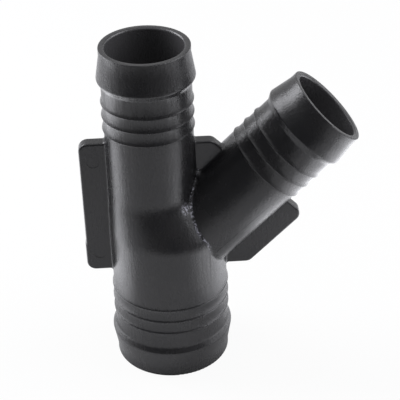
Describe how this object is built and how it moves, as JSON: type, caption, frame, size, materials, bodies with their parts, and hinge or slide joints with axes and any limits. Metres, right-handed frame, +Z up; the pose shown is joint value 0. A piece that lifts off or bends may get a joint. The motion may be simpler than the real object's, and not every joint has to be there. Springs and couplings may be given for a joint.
{
  "type": "tubing y connector",
  "caption": "Moulded Y connector with barbed hose tails: a wide stem splits into an upright arm and a slanted branch, with flat webs bracing them.",
  "frame": {"origin": "centre of the stem's mouth, in the plane that the part stands on", "axes": "+Z up the stem's axis, +X towards the branch, with all three tails' axes in the XZ plane"},
  "size_m": [0.088, 0.04, 0.1127],
  "materials": {
    "moulding": "satin"
  },
  "bodies": {
    "root": {"connector_body": "moulding"}
  },
  "joints": []
}
